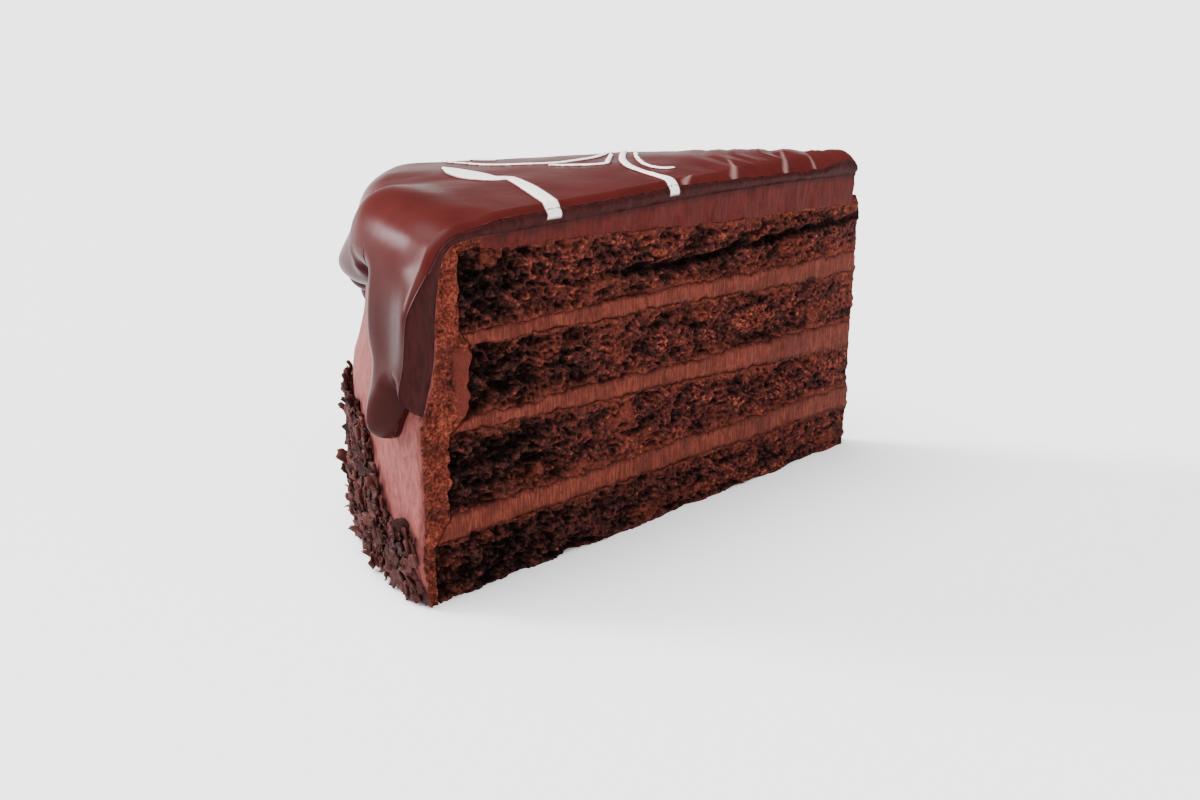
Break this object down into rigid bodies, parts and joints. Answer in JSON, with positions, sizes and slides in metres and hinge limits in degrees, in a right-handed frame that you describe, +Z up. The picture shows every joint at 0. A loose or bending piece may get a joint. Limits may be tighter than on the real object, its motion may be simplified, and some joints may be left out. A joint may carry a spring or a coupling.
{
  "type": "chocolate layer cake slice",
  "caption": "Wedge cut from a round chocolate layer cake: sponge and filling layers, a frosted rim with flakes, and a poured glaze that drips down the rim. Stands on its base to be eaten.",
  "frame": {"origin": "centre of the bounding box at the base, on the surface the slice stands on", "axes": "+Z up; +X from the coated rim towards the thin end, along the middle of the wedge; the cut face that the picture shows looks to -Y"},
  "size_m": [0.1337, 0.0719, 0.0775],
  "materials": {
    "sponge": "open dark crumb, torn at the cuts",
    "filling": "smooth cream, dragged by the knife",
    "frosting": "brushed cream, with dark flakes pressed on",
    "glaze": "satin set chocolate"
  },
  "bodies": {
    "root": {"sponge_1": "sponge", "filling_1": "filling", "sponge_2": "sponge", "filling_2": "filling", "sponge_3": "sponge", "filling_3": "filling", "sponge_4": "sponge", "frosting_coat": "frosting", "glaze": "glaze"}
  },
  "joints": []
}
